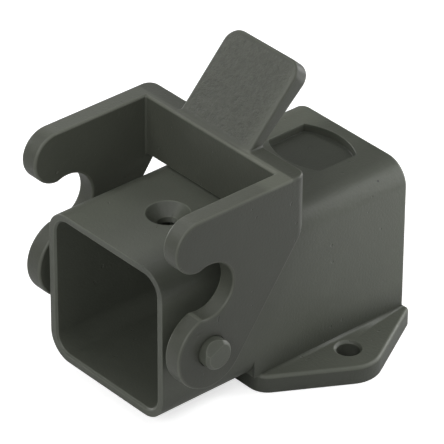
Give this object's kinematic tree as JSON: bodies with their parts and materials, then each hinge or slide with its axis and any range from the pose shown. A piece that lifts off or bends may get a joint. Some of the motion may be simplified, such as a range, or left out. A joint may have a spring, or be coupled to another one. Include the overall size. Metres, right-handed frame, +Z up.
{
  "type": "angled bulkhead connector housing",
  "caption": "Empty angled bulkhead housing for a small rectangular connector: square socket, eared flange, wire outlet below and a U-shaped locking lever on moulded studs.",
  "frame": {"origin": "midway between the two fixing holes, on the underside of the flange", "axes": "+Y from the mouth towards the rear face, +Z up from the mounting panel, +X along the lever's pivot and the row of fixing holes"},
  "size_m": [0.0396, 0.0453, 0.0455],
  "materials": {
    "housing": "fine moulded texture, dark greenish grey thermoplastic",
    "lever": "fine moulded texture with a coarser grain on the thumb tab",
    "seal": "matt black rubber"
  },
  "bodies": {
    "housing_body": {"housing": "housing", "flange_gasket": "seal"},
    "lever_body": {"locking_lever": "lever"}
  },
  "joints": [
    {"name": "lever_pivot", "type": "hinge", "parent": "housing_body", "child": "lever_body", "pos_m": [0, -0.02595, 0.01445], "axis": [1, 0, 0], "range_deg": [0, 88]}
  ]
}
